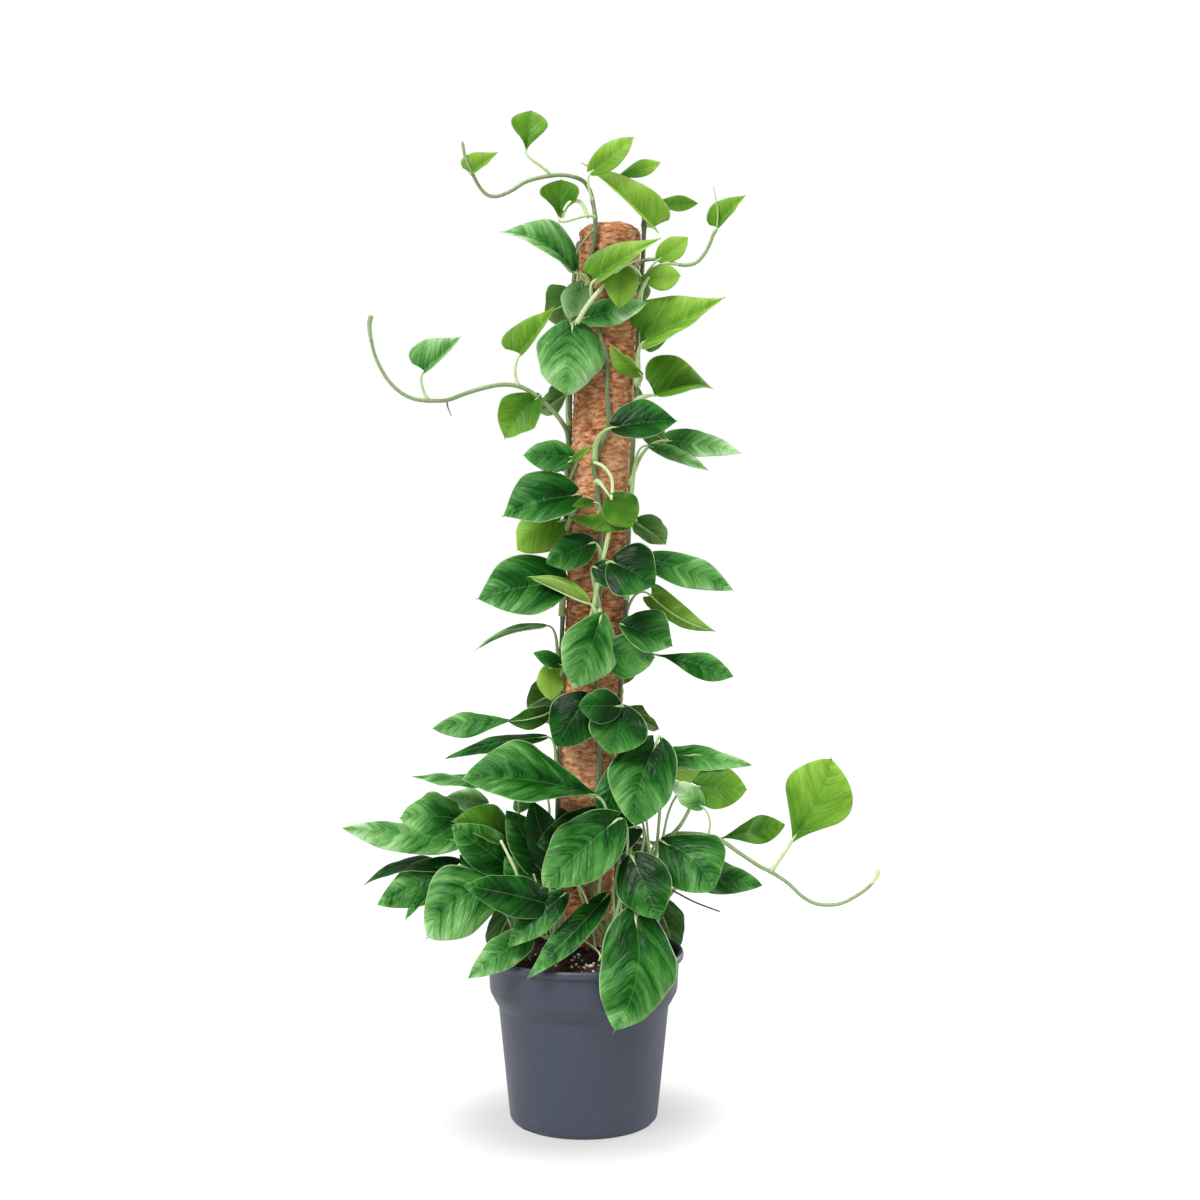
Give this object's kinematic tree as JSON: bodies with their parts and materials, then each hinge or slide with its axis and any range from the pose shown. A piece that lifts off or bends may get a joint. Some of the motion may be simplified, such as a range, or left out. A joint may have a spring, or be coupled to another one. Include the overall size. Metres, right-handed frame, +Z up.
{
  "type": "potted monstera pinnatipartita",
  "caption": "Climbing aroid house plant: leafy vines round a coir pole, with a skirt of basal leaves, in a round nursery pot filled with soil.",
  "frame": {"origin": "centre of the pot's underside", "axes": "+Z up along the pot, -Y towards the front of the plant, +X to its right"},
  "size_m": [0.6247, 0.2998, 1.193],
  "materials": {
    "pot_plastic": "satin moulded plastic",
    "potting_mix": "damp crumbly potting mix",
    "stake": "plain wooden stake",
    "coir": "coarse coir fibre",
    "foliage": "waxy leaf"
  },
  "bodies": {
    "root": {"pot": "pot_plastic", "soil": "potting_mix", "pole_core": "stake", "coir_pole": "coir", "front_vine": "foliage", "right_vine": "foliage", "left_vine": "foliage", "back_left_vine": "foliage", "back_right_vine": "foliage", "front_shoot": "foliage", "front_left_shoot": "foliage", "left_shoot": "foliage", "right_shoot": "foliage", "back_left_shoot": "foliage", "back_shoot": "foliage", "back_right_shoot": "foliage"}
  },
  "joints": []
}
